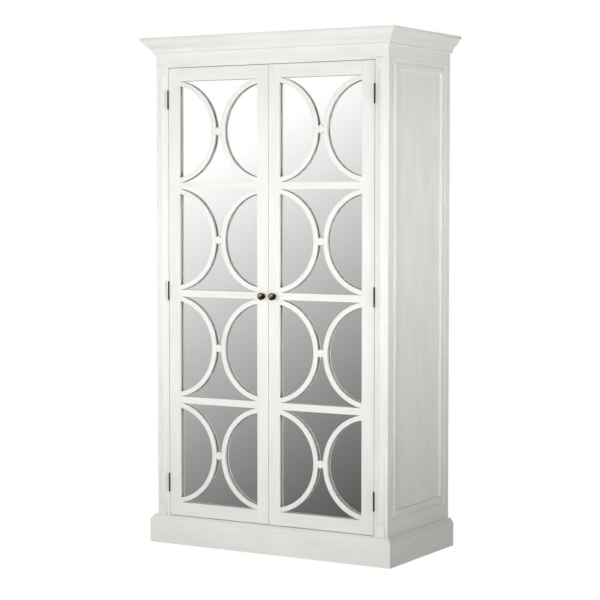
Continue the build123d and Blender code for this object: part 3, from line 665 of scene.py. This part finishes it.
class ARMOIRE_OT_fretwork(bpy.types.Operator):
    """Fretwork: two bowed bands back to back in every mirror field, joined at their crowns by a disc"""

    bl_idname = "armoire.fretwork"
    bl_label = "Fretwork"

    def execute(self, context):
        s = sizes()
        low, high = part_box("right_door_fretwork")
        half_x = (high.x - low.x) / 2
        rail_height = 29 * MM
        pitch = (high.z - low.z + rail_height) / FIELDS
        half_z = (pitch - rail_height) / 2
        thickness = high.y - low.y
        centre = Vector(((low.x + high.x) / 2, low.y, low.z + half_z))
        parts = []
        for bow in (-1, 1):
            cuts = [
                (centre + X * (bow * half_x), X * bow),
                (centre + Z * half_z, Z),
                (centre - Z * half_z, -Z),
            ]
            parts.append(bowed_band(f"band_{bow}", centre, thickness, bow, cuts))
        r, t, e = s.disc / MM, thickness / MM, s.ease / MM
        rim = [(0, 0), (r - e, 0), (r - ROUNDING * e, ROUNDING * e), (r, e), (r, t), (0, t)]
        disc = turned("disc", rim, centre, Y, s.turning_steps)
        for part in parts:
            make_active(disc)
            union = disc.modifiers.new("union", "BOOLEAN")
            union.operation, union.solver, union.object = "UNION", "EXACT", part
            bpy.ops.object.modifier_apply(modifier="union")
            bpy.data.objects.remove(part)
        for side, offset in (("right", 0.0), ("left", -2 * centre.x)):
            copies = [
                moved_copy(disc, f"fret_{side}_{n}", Vector((offset, 0, pitch * n))) for n in range(FIELDS)
            ]
            fret = joined(f"{side}_door_bowed_fretwork", copies)
            complete(fret, f"{side}_door", [f"{side}_door_fretwork"], [paint("Z")])
        bpy.data.objects.remove(disc)
        return {"FINISHED"}


class ARMOIRE_OT_mirrors(bpy.types.Operator):
    """Mirrors: a full-height sheet of float glass in each door, its back silvered and its edges ground"""

    bl_idname = "armoire.mirrors"
    bl_label = "Mirrors"

    def execute(self, context):
        low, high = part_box("right_door_mirror")
        high.y -= 0.1 * MM  # the silver stays clear of the backing board
        sheet = board("right_door_silvered_glass", low, high)
        soften(sheet, lambda a, b: True, sizes().glass_arris, segments=1)
        sheet.data.materials.append(mirror_glass())
        sheet.data.materials.append(mirror_silver())
        for face in sheet.data.polygons:
            if face.normal.y > 0.9:
                face.material_index = 1
        twin = moved_copy(sheet, "left_door_silvered_glass", Vector((-(low.x + high.x), 0, 0)))
        complete(sheet, "right_door", ["right_door_mirror"], [])
        complete(twin, "left_door", ["left_door_mirror"], [])
        for obj in (sheet, twin):
            make_active(obj)
            bpy.ops.object.shade_flat()
        return {"FINISHED"}


class ARMOIRE_OT_knobs(bpy.types.Operator):
    """Turned knobs: a rose on the stile, a waist, a rolled rim and a low dome in lighter brass, a painted
    highlight
    """

    bl_idname = "armoire.knobs"
    bl_label = "Knobs"

    def execute(self, context):
        low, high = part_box("right_door_knob")
        centre = Vector(((low.x + high.x) / 2, FRONT, (low.z + high.z) / 2))
        dome, dome_foot = 11.4, -20.5
        profile = [(0, 14), (2.4, 14), (2.4, 0), (10.6, 0), (11, -0.5), (11, -1.3)]
        profile += arc((11, -1.3), (7.2, -3.4), (5.5, -7), 6)
        profile += arc((5.5, -7), (6.6, -12.5), (12, -16), 8)
        profile += arc((12, -16), (15, -18.5), (13, -21.2), 10)
        profile += [(12.2, -20.9), (dome, dome_foot)]
        profile += arc((dome, dome_foot), (6.2, -24.4), (0, -26), 9)
        knob = turned("right_door_turned_knob", profile, centre, Y, sizes().turning_steps)
        knob.data.materials.append(near_black_brass())
        knob.data.materials.append(dome_brass_painted_highlight())
        # The dome's faces get the lighter brass, a painted highlight; all the other faces get the
        # near-black brass
        for face in knob.data.polygons:
            place = face.center - centre
            if math.hypot(place.x, place.z) < dome * MM and place.y < (dome_foot + 0.1) * MM:
                face.material_index = 1
        twin = mirrored_copy(knob, "left_door_turned_knob")
        complete(knob, "right_door", ["right_door_knob"], [])
        complete(twin, "left_door", ["left_door_knob"], [])
        return {"FINISHED"}


# ---------------------------------------------------------------- hinges
# Sizes of a 76 mm butt hinge, in millimetres
HINGE_HEIGHTS = (254, 1056, 1847)
HINGE_LENGTH = 76.0
HINGE_STEPS = 24
KNUCKLES = 5
KNUCKLE_RADIUS = 3.4
KNUCKLE_BORE = 1.65
KNUCKLE_GAP = 0.4
KNUCKLE_EASE = 0.5
LEAF_GAP = 0.3
LEAF_PLATE = 1.8
LEAF_ARRIS = 0.3
PIN_RADIUS = 1.58
PIN_TIP = 2.6


def hinge_knuckle(foot, n):
    """The nth knuckle from the hinge's foot: a short tube with eased ends."""
    pitch = HINGE_LENGTH / KNUCKLES
    bottom, top = n * pitch + KNUCKLE_GAP / 2, (n + 1) * pitch - KNUCKLE_GAP / 2
    bore, radius, ease = KNUCKLE_BORE, KNUCKLE_RADIUS, KNUCKLE_EASE
    ring = [
        (bore, bottom), (radius - ease, bottom), (radius, bottom + ease), (radius, top - ease),
        (radius - ease, top), (bore, top), (bore, bottom),
    ]
    return turned("knuckle", ring, foot, Z, HINGE_STEPS)


def hinge_leaf(foot, way):
    """The leaf beside the pin: outwards in the post for way 1, inwards in the door's edge for way -1."""
    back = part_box("hinge_leaves_frame")[1].y
    near = foot.x + way * LEAF_GAP / 2 * MM
    far = near + way * LEAF_PLATE * MM
    leaf = board(
        "leaf", (min(near, far), foot.y + (KNUCKLE_RADIUS - 0.4) * MM, foot.z),
        (max(near, far), back, foot.z + HINGE_LENGTH * MM),
    )
    return soften(leaf, lambda a, b: abs(a.y - back) < HAIR and abs(b.y - back) < HAIR, LEAF_ARRIS * MM, 1)


def pin_profile():
    """The pin with a button tip at each end, from the hinge's foot."""
    low_tip = [(0, -1.4), (1.6, -1.4), (2.3, -1.1), (PIN_TIP, -0.5), (PIN_TIP, 0), (PIN_RADIUS, 0)]
    return low_tip + [(r, HINGE_LENGTH - h) for r, h in reversed(low_tip)]


class ARMOIRE_OT_hinges(bpy.types.Operator):
    """Butt hinges: let-in leaves, five knuckles with eased ends and a pin with button tips"""

    bl_idname = "armoire.hinges"
    bl_label = "Hinges"

    def execute(self, context):
        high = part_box("hinge_pins")[1]
        pin = Vector((high.x - PIN_TIP * MM, high.y - PIN_TIP * MM, 0))
        frame_parts, door_parts, pins = [], [], []
        for height in HINGE_HEIGHTS:
            foot = pin + Z * ((height - HINGE_LENGTH / 2) * MM)
            for n in range(KNUCKLES):
                (door_parts if n % 2 else frame_parts).append(hinge_knuckle(foot, n))
            frame_parts.append(hinge_leaf(foot, 1))
            door_parts.append(hinge_leaf(foot, -1))
            pins.append(turned("pin", pin_profile(), foot, Z, HINGE_STEPS))
        door_right = joined("right_door_knuckles", door_parts)
        door_left = mirrored_copy(door_right, "left_door_knuckles")
        frame_right = joined("frame_knuckles", frame_parts)
        frame_left = mirrored_copy(frame_right, "frame_knuckles_left")
        pins_right = joined("hinge_pin_set", pins)
        pins_left = mirrored_copy(pins_right, "hinge_pins_left")
        bronze = [hinge_bronze()]
        complete(door_right, "right_door", ["right_door_hinge_leaves"], bronze)
        complete(door_left, "left_door", ["left_door_hinge_leaves"], bronze)
        both = joined("frame_knuckles", [frame_right, frame_left])
        complete(both, "carcass", ["hinge_leaves_frame"], bronze)
        both = joined("hinge_pin_set", [pins_right, pins_left])
        complete(both, "carcass", ["hinge_pins"], bronze)
        return {"FINISHED"}


# ---------------------------------------------------------------- inside
class ARMOIRE_OT_hanging_rail(bpy.types.Operator):
    """Hanging rail: a chromed tube in two turned end sockets"""

    bl_idname = "armoire.hanging_rail"
    bl_label = "Hanging rail"

    def execute(self, context):
        low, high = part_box("hanging_rail")
        centre = (low + high) / 2
        half, steps = (high.x - low.x) / 2 / MM, sizes().turning_steps
        outer, wall, arris = (high.z - low.z) / 2 / MM, 1.5, 0.4
        tube = [
            (outer - wall, -half), (outer - arris, -half), (outer, -half + arris), (outer, half - arris),
            (outer - arris, half), (outer - wall, half), (outer - wall, -half),
        ]
        rail = turned("chrome_tube", tube, centre, X, steps)
        complete(rail, "carcass", ["hanging_rail"], [chrome()])
        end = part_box("rail_sockets")[1].x
        cup = [
            (0, 0), (25, 0), (25, -2.2), (24.2, -3), (16.4, -3.2), (15.5, -4.2), (15.5, -16.4), (14.9, -17),
            (outer + 0.1, -17), (outer + 0.1, -3), (0, -3),
        ]
        right = turned("rail_socket_set", cup, (end, centre.y, centre.z), X, steps)
        left = mirrored_copy(right, "rail_socket_left")
        sockets = joined("rail_socket_set", [right, left])
        complete(sockets, "carcass", ["rail_sockets"], [chrome()])
        return {"FINISHED"}


# ---------------------------------------------------------------- finishes of the frame's own parts
def finish_table():
    """Which finish each part of the frame gets, by the ends of their names."""
    return {
        paint("Z"): ("_post_left", "_post_right", "side_panel_left", "side_panel_right", "_stile"),
        paint("X"): ("frieze_rail", "door_stops", "_door_bottom_rail", "_door_top_rail", "_mid_rails"),
        paint("Y"): ("side_bottom_rail_left", "side_bottom_rail_right", "side_top_rail_left",
                     "side_top_rail_right"),
        inside_paint(): ("bottom_board", "top_board", "hat_shelf", "shelf_cleats", "plinth_back"),
        plywood(): ("back_panel", "_backing"),
        zinc(): ("_screws", "hinge_screws_frame"),
        catch_plastic(): ("door_catches",),
        bright_zinc(): ("_catch_plate",),
    }


class ARMOIRE_OT_finishes(bpy.types.Operator):
    """Finishes: paint, board, plywood and metal on the parts that keep the frame's own shape"""

    bl_idname = "armoire.finishes"
    bl_label = "Finishes"

    def execute(self, context):
        bare = [name for name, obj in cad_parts.items() if not obj.hide_render]
        for material, endings in finish_table().items():
            for name in [n for n in bare if n.endswith(endings)]:
                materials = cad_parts[name].data.materials
                for n in range(len(materials)):
                    materials[n] = material
                if not materials:
                    materials.append(material)
                bare.remove(name)
        if bare:
            raise RuntimeError(f"these parts have no finish: {', '.join(sorted(bare))}")
        return {"FINISHED"}


# ---------------------------------------------------------------- stage
CAMERA_PLACE = (3.8879, -6.5692, 1.4519)
CAMERA_TURN = (math.radians(86.756), 0.0, math.radians(30.599))
CAMERA_LENS, CAMERA_SENSOR = 110.69, 36.0
FLOOR_SIZE, FLOOR_DROP = 60.0, 0.2 * MM

# Reflections brighten towards this direction, between start and full along it
GLOW_TOWARDS = (-0.6148, 0.0, 0.7886)
GLOW_START, GLOW_FULL, GLOW_CURVE = 0.1, 0.35, 1.92
GLOW_DIM, GLOW_BRIGHT = 0.05, 1.09
# What the floor and the ceiling send back to dull surfaces
FLOOR_BOUNCE, CEILING = 0.41, 0.1
LAMP_WHITE = (1.0, 1.0, 0.985)
# Each light: name, place, aim, power in watts, width in metres, spread in degrees
LIGHTS = (
    ("right_key", (6.4, -1.4, 0.9), (0.5, 0.0, 1.5), 9.3, 0.7, 40),
    ("front_key", (1.5, -4.6, 1.45), (0.2, -0.25, 1.3), 11.6, 0.8, 70),
    ("left_front", (-1.6, -3.2, 1.6), (-0.3, -0.25, 1.3), 13.3, 0.9, 110),
    ("low_front", (0.2, -3.2, 0.75), (0.1, -0.25, 0.5), 5.7, 0.8, 110),
    ("back_fill", (-0.4, 5.0, 1.5), (0.0, 0.3, 1.05), 25.0, 1.2, 60),
    ("left_fill", (-5.6, 0.5, 1.4), (-0.55, 0.0, 1.05), 14.0, 1.0, 60),
)


def soft_light(name, place, target, power, size, spread):
    """A round softbox with a grid of that spread in degrees, which mirrors and glass don't show."""
    data = bpy.data.lights.new(name, "AREA")
    data.shape, data.size, data.energy = "DISK", size, power
    data.spread = math.radians(spread)
    data.color = LAMP_WHITE
    light = bpy.data.objects.new(name, data)
    bpy.context.scene.collection.objects.link(light)
    light.location = place
    light.rotation_euler = (Vector(target) - Vector(place)).to_track_quat("-Z", "Y").to_euler()
    light.visible_camera = light.visible_glossy = light.visible_transmission = False


def studio_world():
    """A bright studio: white to look at, and a soft gradient from high left to low right in reflections."""
    world = bpy.data.worlds.new("studio")
    bpy.context.scene.world = world
    world.use_nodes = True
    world.node_tree.nodes.clear()
    place = node(world, "ShaderNodeTexCoord")
    climb = node(
        world, "ShaderNodeVectorMath", [(0, place, "Generated"), (1, GLOW_TOWARDS)],
        operation="DOT_PRODUCT",
    )
    level = node(
        world, "ShaderNodeMapRange",
        [("Value", climb, "Value"), ("From Min", GLOW_START), ("From Max", GLOW_FULL)], clamp=True,
    )
    curve = node(world, "ShaderNodeMath", [(0, level, "Result"), (1, GLOW_CURVE)], operation="POWER")
    shade = node(
        world, "ShaderNodeMapRange",
        [("Value", curve, "Value"), ("To Min", GLOW_DIM), ("To Max", GLOW_BRIGHT)],
    )
    path = node(world, "ShaderNodeLightPath")
    parts = node(world, "ShaderNodeSeparateXYZ", [("Vector", place, "Generated")])
    bounce = node(
        world, "ShaderNodeMapRange",
        [("Value", parts, "Z"), ("From Min", -0.1), ("From Max", 0.1),
         ("To Min", FLOOR_BOUNCE), ("To Max", CEILING)],
    )
    fill = node(
        world, "ShaderNodeMix",
        [("Factor", path, "Is Diffuse Ray"), ("A", shade, "Result"), ("B", bounce, "Result")],
    )
    seen = node(
        world, "ShaderNodeMix", [("Factor", path, "Is Camera Ray"), ("A", fill, "Result"), ("B", 1.0)],
    )
    glow = node(world, "ShaderNodeBackground", [("Color", (1, 1, 1, 1)), ("Strength", seen, "Result")])
    node(world, "ShaderNodeOutputWorld", [("Surface", glow, "Background")])


class ARMOIRE_OT_stage(bpy.types.Operator):
    """Stage: the camera, a pale floor, soft lights and a bright studio around"""

    bl_idname = "armoire.stage"
    bl_label = "Stage"

    def execute(self, context):
        scene = context.scene
        scene.view_settings.view_transform = "Standard"
        camera = bpy.data.cameras.new("camera")
        camera.lens, camera.sensor_width = CAMERA_LENS, CAMERA_SENSOR
        view = bpy.data.objects.new("camera", camera)
        scene.collection.objects.link(view)
        view.location, view.rotation_euler = CAMERA_PLACE, CAMERA_TURN
        scene.camera = view

        clear_selection()
        bpy.ops.mesh.primitive_plane_add(size=FLOOR_SIZE, location=(0, 0, -FLOOR_DROP))
        floor = bpy.context.object
        floor.name = "studio_floor"
        white = bpy.data.materials.new("pale_studio_floor")
        white.use_nodes = True
        white.node_tree.nodes.clear()
        glow = node(white, "ShaderNodeEmission", [("Color", (1, 1, 1, 1)), ("Strength", 1.0)])
        node(white, "ShaderNodeOutputMaterial", [("Surface", glow, "Emission")])
        floor.data.materials.append(white)
        floor.visible_glossy = floor.visible_diffuse = floor.visible_transmission = False
        studio_world()
        for light in LIGHTS:
            soft_light(*light)
        return {"FINISHED"}


# ---------------------------------------------------------------- add-on
OPERATORS = (
    ARMOIRE_OT_cornice, ARMOIRE_OT_plinth, ARMOIRE_OT_pilasters, ARMOIRE_OT_side_mouldings,
    ARMOIRE_OT_fretwork, ARMOIRE_OT_mirrors, ARMOIRE_OT_knobs, ARMOIRE_OT_hinges,
    ARMOIRE_OT_hanging_rail, ARMOIRE_OT_finishes, ARMOIRE_OT_stage,
)


class ARMOIRE_PT_panel(bpy.types.Panel):
    """Lists the armoire's sizes, colours and steps"""

    bl_label = "Armoire"
    bl_idname = "ARMOIRE_PT_panel"
    bl_space_type = "VIEW_3D"
    bl_region_type = "UI"
    bl_category = "Armoire"

    def draw(self, context):
        layout = self.layout
        for group in (context.scene.armoire_sizes, context.scene.armoire_colours):
            box = layout.box()
            for name in group.__annotations__:
                box.prop(group, name)
        for operator in OPERATORS:
            layout.operator(operator.bl_idname)


CLASSES = (ArmoireSizes, ArmoireColours, *OPERATORS, ARMOIRE_PT_panel)


def register():
    for cls in CLASSES:
        bpy.utils.register_class(cls)
    bpy.types.Scene.armoire_sizes = PointerProperty(type=ArmoireSizes)
    bpy.types.Scene.armoire_colours = PointerProperty(type=ArmoireColours)


def unregister():
    del bpy.types.Scene.armoire_colours
    del bpy.types.Scene.armoire_sizes
    for cls in reversed(CLASSES):
        bpy.utils.unregister_class(cls)


def main():
    register()
    for operator in OPERATORS:
        group, name = operator.bl_idname.split(".")
        getattr(getattr(bpy.ops, group), name)()
    clear_selection()


if __name__ == "__main__":
    main()
